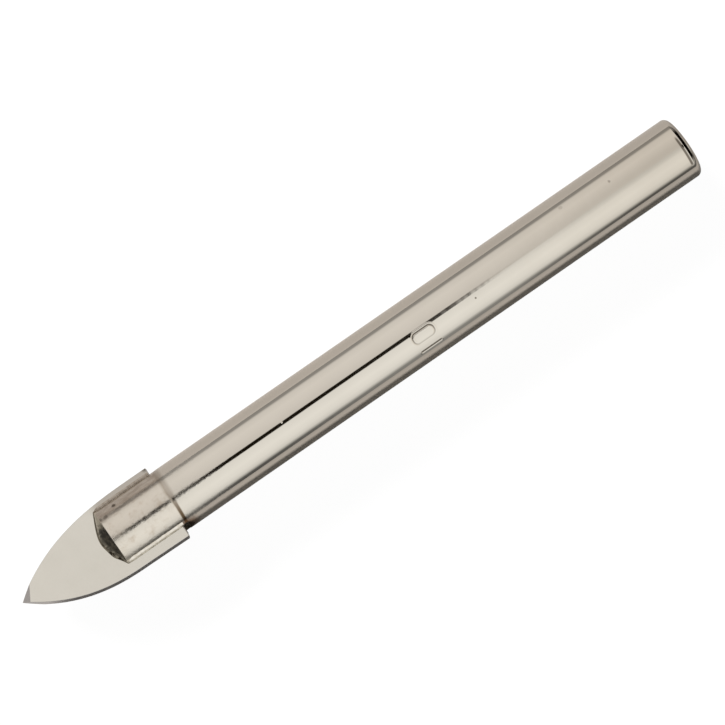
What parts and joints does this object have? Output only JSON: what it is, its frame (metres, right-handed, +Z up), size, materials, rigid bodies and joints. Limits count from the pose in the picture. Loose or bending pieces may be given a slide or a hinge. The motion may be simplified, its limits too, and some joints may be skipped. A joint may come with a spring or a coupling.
{
  "type": "glass and tile drill bit",
  "caption": "Spear-point drill bit for glass and tile: a ground carbide blade brazed into the slotted nose of a plain round plated steel shank.",
  "frame": {"origin": "on the surface that the bit lies on, below the middle of its length", "axes": "+X along the bit's axis from the point to the rear of the shank, +Z up from the surface"},
  "size_m": [0.093, 0.0094, 0.0078],
  "materials": {
    "nickel_plated_steel": "bright nickel plate with light polishing marks",
    "ground_carbide": "matt ground carbide",
    "braze_filler": "dull braze darkened by burnt flux"
  },
  "bodies": {
    "root": {"shank": "nickel_plated_steel", "carbide_tip": "ground_carbide", "braze_joint": "braze_filler"}
  },
  "joints": []
}
